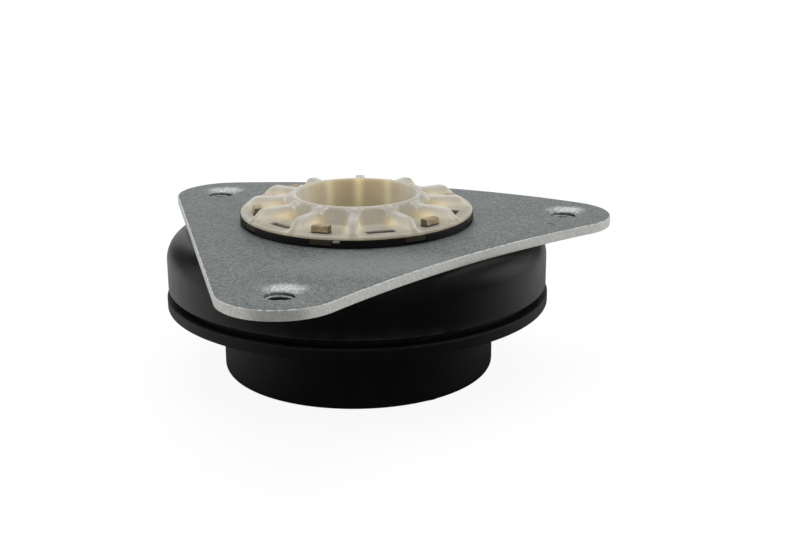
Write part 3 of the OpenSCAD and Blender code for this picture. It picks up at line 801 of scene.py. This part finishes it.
def spring_pad():
    """Moulded pad turned round Z, with the mould's seam as a low ridge round the hub, a small tag of
    flash at the front of the hub's edge, and a gently uneven rim."""
    guide_or = GUIDE_R + GUIDE_WALL
    outline = [(guide_or, 0), (HUB_R, 0), (HUB_R, RIM_UNDER), (RIM_R, RIM_UNDER), (RIM_R, RIM_TOP),
               (guide_or, RIM_TOP)]
    verts, faces = turned(outline, [0.4, HUB_EDGE, SEAT_FILLET, RIM_EDGE, RIM_EDGE, 0.4], 8.0, 0.7)
    angle = np.arctan2(verts[:, 1], verts[:, 0])
    radius = from_axis(verts)
    wall = radius > HUB_R - 0.1
    hub = radius < HUB_R + 0.2
    ridge = SEAM_H * np.exp(-((verts[:, 2] - SEAM_Z) / SEAM_HALF) ** 2) * wall * hub
    uneven = 0.05 * np.sin(3 * angle + 0.7) + 0.04 * np.sin(7 * angle + 2.1) - 0.09
    along, up = (angle - TAG_ANGLE) * HUB_R / TAG_HALF_W, (verts[:, 2] - TAG_Z) / TAG_HALF_H
    tag = TAG_REACH * np.exp(-(along ** 2 + up ** 2)) * hub * (radius > HUB_R - HUB_EDGE)
    swell = ridge + uneven * (radius > RIM_R - 2.5) + tag
    verts[:, :2] *= ((radius + swell) / radius)[:, None]
    made = solid("pad", (verts, faces))
    points = corners(made)
    outer = from_axis(points) > RIM_R - 0.75
    carry(made, "worn", outer * np.clip(1 - np.abs(RIM_TOP - 0.25 - points[:, 2]) / 0.45, 0, 1))
    return dress(made, "spring_seat", "spring_pad", 50.0)


def lower_carrier():
    """Carrier turned round Z: guide tube with its snap bead, flange, and raised race seat."""
    flange_top = RIM_TOP + SEAT_FLANGE_T
    neck_or = GUIDE_R + GUIDE_WALL
    bead = TUBE_R - TUBE_LIP + 0.9
    seal = TUBE_R + COVER_T + 1.5
    seat_z, seat_or = 36.5, 57.9
    wall_t, wall_top, bead_z = 1.3, seat_z + 2, CARRIER_TOP - 1.2
    outline = [(GUIDE_R, 0), (neck_or, 0), (neck_or, RIM_TOP), (GROOVE_R, RIM_TOP), (GROOVE_R, flange_top),
               (seat_or, flange_top), (seat_or, wall_top), (seat_or - wall_t, wall_top),
               (seat_or - wall_t, seat_z), (seal + wall_t, seat_z), (seal + wall_t, wall_top),
               (seal, wall_top), (seal, flange_top), (neck_or, flange_top), (neck_or, bead_z),
               (bead, bead_z), (bead, CARRIER_TOP), (GUIDE_R, CARRIER_TOP)]
    radii = [0.8, 0.6, 0.0, 0.0, 0.5, 0.4, 0.3, 0.3, 0.2, 0.2, 0.3, 0.3, 0.4, 0.6, 0.4, 0.3, 0.5, 0.8]
    return dress(solid("carrier", turned(outline, radii)), "spring_seat", "lower_carrier")


# Isolator and rod seat

def lug_at(angle, width, end, low, high, radius):
    """Rounded block that lies along a radius from the clip ring's middle out to end."""
    start = (CLIP_R0 + CLIP_R1) / 2
    middle = (start + end) / 2
    size = (end - start, width, high - low)
    return placed(block(size, radius), angle, (*at_bay(angle, middle), (low + high) / 2))


def rubber_isolator():
    """Rubber block turned round Z between core and cover tube, with a flexing groove below and a lip
    above the plate that has a notch for each lug of the clip ring."""
    core_r = CORE_HIGH[0]
    low = CARRIER_TOP + 0.7
    groove_r = 3.5
    middle = (core_r + TUBE_R) / 2
    dip = np.radians(np.linspace(180, 0, 13))
    groove = np.array([middle, low]) + groove_r * unit(dip)
    wall = CLIP_R1 + STACK_GAP
    shelf = PLATE_UNDER - STACK_GAP
    neck = NECK_R - 0.05
    lip = rounded([(TUBE_R, low), (TUBE_R, shelf), (neck, shelf), (neck, PLATE_TOP), (LIP_R, PLATE_TOP),
                   (LIP_R, FLANGE_UNDER), (wall, FLANGE_UNDER), (wall, PLATE_UNDER),
                   (CLIP_R0, PLATE_UNDER), (core_r, CORE_HIGH[2]), (core_r, low)],
                  [0.6, 0.5, 0.0, 0.0, 0.0, 0.55, 0.2, 0.0, 0.5, 0.0, 0.6], 15.0)
    made = solid("isolator", lathe(spaced(np.concatenate([groove, lip]), 2.0)))
    bottom = FLANGE_UNDER - LUG_H - CLIP_GAP
    notches = [lug_at(a, LUG_W + 2 * CLIP_GAP, LIP_R + 1, bottom, FLANGE_UNDER + 1, 0.2) for a in LUG_ANGLES]
    cut_from(made, joined(*notches))
    return dress(made, "body_side", "rubber_isolator")


def rod_core():
    """Steel disc turned round Z with broken edges and a rolled rod hole."""
    hole_r, edge_r = 7.1, CORE_HIGH[0]
    low, high = CORE_LOW[2], CORE_HIGH[2]
    outline = [(hole_r, low), (edge_r, low), (edge_r, high), (hole_r, high)]
    return dress(solid("core", turned(outline, [0.5, 0.0, 0.0, 0.9])), "body_side", "rod_core")


# Ribbed insert and its clips

def crown(radius):
    """Height of the ribs: an elliptic sweep down from the collar, level out to a radius, then an arc and
    the slope that touches it and runs straight down to the foot of the rib."""
    foot = np.array([CROWN_FOOT_R - CROWN_FLAT_R, CROWN_ROUND - RIB_H])
    touch = math.atan2(foot[1], foot[0]) + math.acos(CROWN_ROUND / np.linalg.norm(foot))
    past = np.clip(radius - CROWN_FLAT_R, 0, foot[0])
    arc = np.sqrt(np.clip(CROWN_ROUND ** 2 - past ** 2, 0, None))
    slope = foot[1] + (foot[0] - past) / math.tan(touch)
    near = np.clip((COLLAR_OR + RIB_SWEEP - radius) / RIB_SWEEP, 0, 1)
    lift = (CROWN_TOP - RIB_TOP) * (1 - np.sqrt(1 - near ** 2))
    return RIB_TOP - CROWN_ROUND + np.where(past < CROWN_ROUND * math.cos(touch), arc, slope) + lift


def insert_height(radius, offset, floor_fillet, crest_round, draft):
    """Top of the insert at a radius and an offset from the nearest rib's centre line. The distance
    into a bay is that to the rib's face or the collar, with a rounded corner where they meet; the
    surface is the floor beyond the fillet, a quarter circle up the fillet, a steep wall, and a
    rounded crest, which is the collar's own within its wall."""
    from_rib = offset - RIB_HALF
    from_collar = radius - COLLAR_OR
    depth = np.minimum(from_rib, from_collar)
    corner = BAY_CORNER_R - np.hypot(BAY_CORNER_R - from_rib, BAY_CORNER_R - from_collar)
    in_corner = (from_rib < BAY_CORNER_R) & (from_collar < BAY_CORNER_R)
    depth = np.where(in_corner & (from_rib > 0) & (from_collar > 0), corner, depth)
    depth = np.where(from_collar < 0, from_collar, depth)
    floor = np.where(radius < BAY_R, BAY_FLOOR, FLANGE_TOP)
    rise = np.clip(np.where(from_collar < 0, CROWN_TOP, crown(radius)) - floor, 0, None)
    fillet = np.minimum(floor_fillet, 0.45 * rise)
    round_off = np.minimum(crest_round, 0.45 * rise)
    near = np.clip(fillet - depth, 0, None)
    up_fillet = fillet - np.sqrt(np.clip(fillet ** 2 - np.minimum(near, fillet) ** 2, 0, None))
    up_wall = fillet + (rise - round_off - fillet) * np.clip(-depth / draft, 0, 1)
    over = np.clip(1 - (-depth - draft) / np.maximum(round_off, 1e-9), 0, 1)
    crest = rise - round_off * (1 - np.sqrt(1 - over ** 2))
    above = np.where(depth >= 0, up_fillet, np.where(depth > -draft, up_wall, crest))
    return floor + above


def insert_grid():
    """Insert as a closed grid: rows run up the collar's bore, over its rim, out along the bays to the
    flange's edge and back underneath; columns follow the ribs' faces at a fixed offset and share out
    the rest of each bay."""
    fillet, edge, draft = 1.5, 0.8, 0.12
    sweep = np.radians(np.linspace(0, 90, 6))
    crest_steps = -draft - edge * (1 - np.sin(sweep))
    fillet_steps = fillet * (1 - np.cos(np.radians(np.linspace(0, 90, 8))))
    steps = np.concatenate([crest_steps, fillet_steps])
    rim_round = 0.6
    lip_turn = np.radians(np.linspace(180, 90, 6))
    bore_z = np.linspace(INSERT_LOW[2], CROWN_TOP - rim_round, 9)[:-1]
    bore = [(COLLAR_R, z) for z in bore_z]
    lip = np.array([COLLAR_R + rim_round, CROWN_TOP - rim_round]) + rim_round * unit(lip_turn)
    rise_r = COLLAR_OR + crest_steps
    corner_r = COLLAR_OR + np.array([0.01, 0.04, 0.1, 0.2, 0.35, 0.55, 0.8, 1.1, 1.5, 2.0, 2.5, 3.0, 3.6])
    level_r = np.linspace(corner_r[-1], CROWN_FLAT_R, 7)[1:]
    fall_r = np.linspace(CROWN_FLAT_R, CROWN_FOOT_R, 20)[1:]
    rim_r = np.array([BAY_R - 0.15, BAY_R - 0.03, BAY_R + 0.03, FLANGE_R - 0.4])
    top_r = np.concatenate([rise_r, corner_r, level_r, fall_r, rim_r])
    turn = np.radians(np.linspace(90, -90, 7))[1:]
    half = FLANGE_T / 2
    edge_rows = [(FLANGE_R - 0.4 + 0.4 * math.cos(a), FLANGE_TOP - half + half * math.sin(a)) for a in turn]
    under = [(r, FLANGE_UNDER) for r in (39.0, 35.0, 30.0, COLLAR_OR + 0.5)]
    sleeve = [(COLLAR_OR, FLANGE_UNDER - 0.5), (COLLAR_OR, INSERT_LOW[2] + 0.4),
              (COLLAR_OR - 0.4, INSERT_LOW[2])]
    before, after = np.concatenate([bore, lip]), np.array(edge_rows + under + sleeve)
    radius = np.concatenate([before[:, 0], top_r, after[:, 0]])
    is_top = np.zeros(len(radius), bool)
    is_top[len(before):len(before) + len(top_r)] = True

    past = np.clip(radius - COLLAR_OR, 0, BAY_CORNER_R)
    wall = RIB_HALF + BAY_CORNER_R - np.sqrt(BAY_CORNER_R ** 2 - (BAY_CORNER_R - past) ** 2)
    bay_end = radius * math.sin(RIB_PITCH / 2)
    at_wall = wall[:, None] + steps
    at_wall *= np.minimum(1, 0.96 * bay_end / at_wall[:, -1])[:, None]
    crest_share = np.linspace(0, 1, 5)[:-1]
    bay_share = np.linspace(0, 1, 8)[1:]
    crest = at_wall[:, :1] * crest_share
    floor = at_wall[:, -1:] + (bay_end[:, None] - at_wall[:, -1:]) * bay_share
    offset = np.concatenate([crest, at_wall, floor], 1)
    swing = np.arcsin(np.clip(offset / radius[:, None], -1, 1))
    height = np.zeros_like(offset)
    height[is_top] = insert_height(radius[is_top][:, None], offset[is_top], fillet, edge, draft)
    height[:len(before)] = before[:, 1:]
    height[len(before) + len(top_r):] = after[:, 1:]
    swing = np.concatenate([-swing[:, :0:-1], swing[:, :-1]], 1)
    height = np.concatenate([height[:, :0:-1], height[:, :-1]], 1)
    ribs = FRONT + RIB_PITCH * np.arange(RIB_COUNT)
    angle = (ribs[None, :, None] + swing[:, None, :]).reshape(len(radius), -1)
    height = np.broadcast_to(height[:, None], (len(radius), RIB_COUNT, height.shape[1])).reshape(angle.shape)
    return skin(swept(radius[:, None], angle, height), True)


def bay_angles(first):
    """Angles of every second bay between the ribs, from the first one after the front rib."""
    return FRONT + RIB_PITCH * (np.arange(first, RIB_COUNT, 2) + 0.5)


def tab_angles():
    """Angles of the snap tabs, each a little to the side in its bay as it sits in the photograph."""
    return bay_angles(1) + TAB_TURNS


def at_bay(angle, reach):
    """Point of the bay at an angle that is reach away from the axis."""
    return reach * math.cos(angle), reach * math.sin(angle)


def bay_frame(points, angle, reach):
    """Distances of points from a point of the bay at an angle, outwards and across."""
    x, y = points[:, 0], points[:, 1]
    along = x * math.cos(angle) + y * math.sin(angle) - reach
    return along, y * math.cos(angle) - x * math.sin(angle)


def flange_cuts():
    """Angle, reach, thickness, width and edge radius of each slot and each tab's seat in the flange."""
    gaps = 2 * CLIP_GAP
    seats = [(a, TAB_REACH, TAB_T + gaps, TAB_W + gaps, 0.3) for a in tab_angles()]
    return [(a, SLOT_REACH, SLOT_T, SLOT_W, 0.5) for a in bay_angles(0)] + seats


def insert_tones(points):
    """How amber the insert is and how strong its painted glow is. It is amber low in the bore and at the
    feet of the ribs' faces, partly its own tint and partly painted light shining through. The painted glow
    is strong behind the ribs, out along their faces and on the crests at both sides, more on the left in the
    bore, and painted shade dims it low on the flange, most at the front right."""
    x, y, z = points.T
    radius = np.hypot(x, y)
    turn = (np.arctan2(y, x) - FRONT + RIB_PITCH / 2) % RIB_PITCH - RIB_PITCH / 2
    offset = np.abs(radius * np.sin(turn))
    low = np.clip((RIB_TOP - z) / RIB_H, 0, 1)
    deep = np.clip((CROWN_TOP - z) / (CROWN_TOP - INSERT_LOW[2]), 0, 1)
    beside = (x / radius) ** 2
    outwards = np.clip((radius - 27.0) / 5.0, 0, 1)
    on_face = np.exp(-((offset - RIB_HALF) / 1.5) ** 2) * np.clip(1.8 * low, 0, 1) * (radius > COLLAR_OR)
    flank = on_face * np.exp(-((radius - 28.0) / 4.5) ** 2) * np.clip(1.3 * low, 0, 1)
    veil = on_face * outwards * np.clip((44.0 - radius) / 5.0, 0, 1)
    crest = (1 - low) * beside * np.where(radius > COLLAR_OR, 0.6, -0.4 * (x > 0))
    band = np.exp(-(offset / 1.8) ** 2) * (1 - beside)
    bore = radius < COLLAR_R + 0.3
    amber = np.where(bore, 0.75 + 0.25 * np.maximum(band, deep) - 0.75 * beside, 0.22 * low + 0.75 * flank)
    # painted light at the bore's sides, stronger on the left
    sides = np.where(x < 0, 1.04, 0.78) * beside
    glow = np.where(bore, 0.66 + 0.8 * band * (1 - deep) + sides - 0.35 * deep,
                    1.0 + 0.1 * flank + 1.1 * veil + crest)
    # painted shade that dims the glow low on the flange, most at the front right
    front_right = np.clip(0.3 + x / 30.0, 0, 1) * np.clip(-y / radius, 0, 1) ** 2
    flat = np.clip((radius - 28.0) / 5.0, 0, 1) * np.clip((FLANGE_TOP + 1.2 - z) / 0.8, 0, 1)
    glow -= (0.4 + 0.2 * front_right) * flat
    lit = bore | (z > FLANGE_UNDER + 0.1)
    return np.clip(amber, 0, 1), np.where(lit, np.clip(glow, 0, 2.5), 0.0)


def slot_shade(points):
    """How dark points lie in a slot or a seat of the flange; less on the left, where light falls in."""
    shade = np.zeros(len(points))
    for angle, reach, thick, wide, _ in flange_cuts():
        along, across = bay_frame(points, angle, reach)
        cut = (np.abs(along) < thick / 2 + 0.02) & (np.abs(across) < wide / 2 + 0.02)
        dark = 0.5 if at_bay(angle, reach)[0] < 0 else 0.9
        shade = np.maximum(shade, dark * cut * (points[:, 2] < FLANGE_TOP + 0.1))
    return shade


def top_insert():
    """Ribbed insert with its slots cut and a small stop below its flange. It carries where it is amber, how
    strong its painted glow of light coming through is, and which faces lie in the painted dark of a slot."""
    where = (*at_bay(STOP_ANGLE, STOP_REACH), FLANGE_UNDER - 0.4)
    made = solid("insert", joined(insert_grid(), placed(block(STOP_SIZE, 0.2), STOP_ANGLE, where)))
    tall, middle = 4.0, FLANGE_UNDER + FLANGE_T / 2
    cut_from(made, joined(*(placed(block((thick, wide, tall), edge), angle, (*at_bay(angle, reach), middle))
                            for angle, reach, thick, wide, edge in flange_cuts())))
    points = corners(made)
    amber, glow = insert_tones(points)
    carry(made, "amber", amber)
    carry(made, "glow", glow)
    carry(made, "shade", slot_shade(points))
    return dress(made, "body_side", "top_insert", 40.0)


def snap_tab():
    """Tab as a side view carried across its width: stem, nose over the flange and sloping tip; the
    view's corners are arcs and its two ends are drawn in by a small bevel."""
    half, width = TAB_T / 2, TAB_W / 2
    foot, nose, tip = FLANGE_UNDER - LUG_H, FLANGE_TOP + STACK_GAP, FLANGE_TOP + TAB_H
    view = rounded([(-half, foot), (half, foot), (half, nose), (half + TAB_NOSE, nose), (half, tip),
                    (-half, tip)], [0.0, 0.0, 0.0, 0.25, 0.5, 0.4], 15.0)
    bevel = 0.4
    share = np.radians(np.linspace(0, 90, 4))
    edge = width - bevel * (1 - np.cos(share))
    place = np.sort(np.concatenate([-edge, edge]))
    into = np.clip((np.abs(place) - width + bevel) / bevel, 0, 1)
    drawn = bevel * (1 - np.sqrt(1 - into ** 2))
    middle = view.mean(0)
    out = view - middle
    length = np.linalg.norm(out, axis=1, keepdims=True)
    rows = middle + out * (1 - drawn[:, None, None] / length)
    return capped(np.stack(np.broadcast_arrays(rows[..., 0], place[:, None], rows[..., 1]), -1))


def clip_ring():
    """Ring under the insert's flange with keyed lugs and six snap tabs; painted shade darkens what lies
    under the flange, and the tabs are dark at their side ends and feet.
    """
    low, high = PLATE_UNDER + STACK_GAP, FLANGE_UNDER - STACK_GAP
    ring = turned([(CLIP_R0, low), (CLIP_R1, low), (CLIP_R1, high), (CLIP_R0, high)], [0.4] * 4, gap=2.0)
    lugs = [lug_at(a, LUG_W, LIP_R - STACK_GAP, FLANGE_UNDER - LUG_H, high, 0.3) for a in LUG_ANGLES]
    tabs = [placed(snap_tab(), a, (*at_bay(a, TAB_REACH), 0.0)) for a in tab_angles()]
    made = solid("clips", joined(ring, *lugs, *tabs))
    points = corners(made)
    # painted shade under the insert's flange, lighter on the ring, which shows through the slots, than on
    # the lugs
    dark = np.where(points[:, 2] < FLANGE_UNDER, np.where(from_axis(points) < CLIP_R1, 0.55, 0.95), 0.0)
    for a in tab_angles():
        along, across = bay_frame(points, a, TAB_REACH)
        on_tab = (points[:, 2] > FLANGE_UNDER) & (np.abs(across) < TAB_W) & (np.abs(along) < TAB_T)
        rim = 0.72 * np.clip((np.abs(across) - TAB_W / 2 + 0.38) / 0.2, 0, 1)
        foot = np.clip((FLANGE_TOP + 0.35 - points[:, 2]) / 0.3, 0, 1)
        dark = np.where(on_tab, np.maximum(rim, foot), dark)
    carry(made, "edge", dark)
    return dress(made, "body_side", "clip_ring")


for build in (top_plate, bearing_cover, spring_pad, lower_carrier, rubber_isolator, rod_core, top_insert,
              clip_ring):
    build()

for name in ("upper_carrier", "upper_race", "balls", "ball_cage", "lower_race", "outer_seal", "inner_seal"):
    inner = frame["nodes"][name].data.materials
    inner.clear()
    inner.append(FINISHES[SLOT_OF[name]])


# Floor, light and camera

def floor():
    """Plain white floor. The camera sees it as white with part of the object's shadow, and the object
    mirrors it as dark but for a lit patch on its left and on its right."""
    reach = 3.0
    mesh = bpy.data.meshes.new("floor")
    square = [(-reach, -reach, 0), (reach, -reach, 0), (reach, reach, 0), (-reach, reach, 0)]
    mesh.from_pydata(square, [], [(0, 1, 2, 3)])
    material = bpy.data.materials.new("floor_white")
    material.use_nodes = True
    nodes = Nodes(material.node_tree)
    seen, mirrored = nodes.ray("Camera"), nodes.ray("Glossy")
    place = nodes.node("ShaderNodeTexCoord", out="Object")
    x, y = (nodes.node("ShaderNodeSeparateXYZ", None, {"Vector": place}, out=axis) for axis in "XY")
    away = nodes.node("ShaderNodeVectorMath", {"operation": "LENGTH"}, {0: place}, out="Value")
    left = (0 - x).above(0.02, 0.16) * y.above(-0.2, -0.02)
    right = x.above(0.05, 0.18) * y.above(-0.17, 0.03)
    far = away.above(0.25, 0.5)
    matte = nodes.node("ShaderNodeBsdfDiffuse", None, {"Color": (0.80, 0.80, 0.80, 1.0)})
    glow, dark, left_lit, right_lit = (nodes.lit("ShaderNodeEmission", v) for v in (1.14, 0.05, 0.77, 0.69))
    sheen = nodes.mixed(right, nodes.mixed(left, dark, left_lit), right_lit)
    both = nodes.mixed(seen * (0.8 + 0.2 * far), matte, glow)
    nodes.node("ShaderNodeOutputMaterial", None, {"Surface": nodes.mixed(mirrored, both, sheen)})
    mesh.materials.append(material)
    added("floor", mesh)


def world():
    """Even studio surround, white to the camera and through glass. The object mirrors it as dim, with a
    lit wall behind."""
    made = bpy.data.worlds.new("studio")
    bpy.context.scene.world = made
    made.use_nodes = True
    nodes = Nodes(made.node_tree)
    way = nodes.node("ShaderNodeTexCoord", out="Generated")
    behind = nodes.node("ShaderNodeSeparateXYZ", None, {"Vector": way}, out="Y").above(0.82, 0.97)
    seen = nodes.ray("Camera") + nodes.ray("Transmission")
    white, even, dim, wall = (nodes.lit("ShaderNodeBackground", v) for v in (1.1, 0.42, 0.09, 1.29))
    light = nodes.mixed(seen, nodes.mixed(nodes.ray("Glossy"), even, nodes.mixed(behind, dim, wall)), white)
    nodes.node("ShaderNodeOutputWorld", None, {"Surface": light})


def softbox(name, place, aim, size, power):
    """Large square lamp that faces a point."""
    lamp = bpy.data.lights.new(name, "AREA")
    lamp.shape = "RECTANGLE"
    lamp.size, lamp.size_y = size
    lamp.energy = power
    made = added(name, lamp)
    made.location = place
    made.rotation_euler = (Vector(aim) - Vector(place)).to_track_quat("-Z", "Y").to_euler()


def leaned(a, b, angle):
    """Two square vectors, turned in their plane so that the first leans towards the second."""
    return a * math.cos(angle) + b * math.sin(angle), b * math.cos(angle) - a * math.sin(angle)


def camera():
    """Camera of the photograph: it looks at the bearing axis from the front and above, then turns a
    little to the right, up and round its own axis. The focal length is in pixels of an 800 wide frame."""
    focal, frame_width, sensor = 1250.476, 800.0, 36.0
    target, distance = Vector((0, 0, 32.3)) * MM, 465.07 * MM
    rise, yaw, pitch, roll = (math.radians(a) for a in (17.007, 1.934, 0.463, -0.875))
    back = Vector((0, -math.cos(rise), math.sin(rise)))
    right, up = Vector((1, 0, 0)), Vector((0, math.sin(rise), math.cos(rise)))
    ahead, right = leaned(-back, right, yaw)
    ahead, up = leaned(ahead, up, pitch)
    right, up = leaned(right, up, roll)
    lens = bpy.data.cameras.new("camera")
    lens.sensor_fit = "HORIZONTAL"
    lens.sensor_width = sensor
    lens.lens = focal / frame_width * sensor
    lens.clip_start = 0.01
    made = added("camera", lens)
    place = target + back * distance
    made.matrix_world = Matrix.Translation(place) @ Matrix((right, up, -ahead)).transposed().to_4x4()
    bpy.context.scene.camera = made


floor()
world()
softbox("top_box", (0.0, 0.25, 0.9), (0, 0, 0.05), (0.8, 0.8), 2.5)
softbox("left_box", (-0.8, 0.15, 0.35), (0, 0, 0.03), (0.5, 0.6), 0.7)
softbox("right_box", (0.8, 0.2, 0.35), (0, 0, 0.03), (0.5, 0.6), 1.1)
camera()
bpy.context.scene.view_settings.view_transform = "Standard"
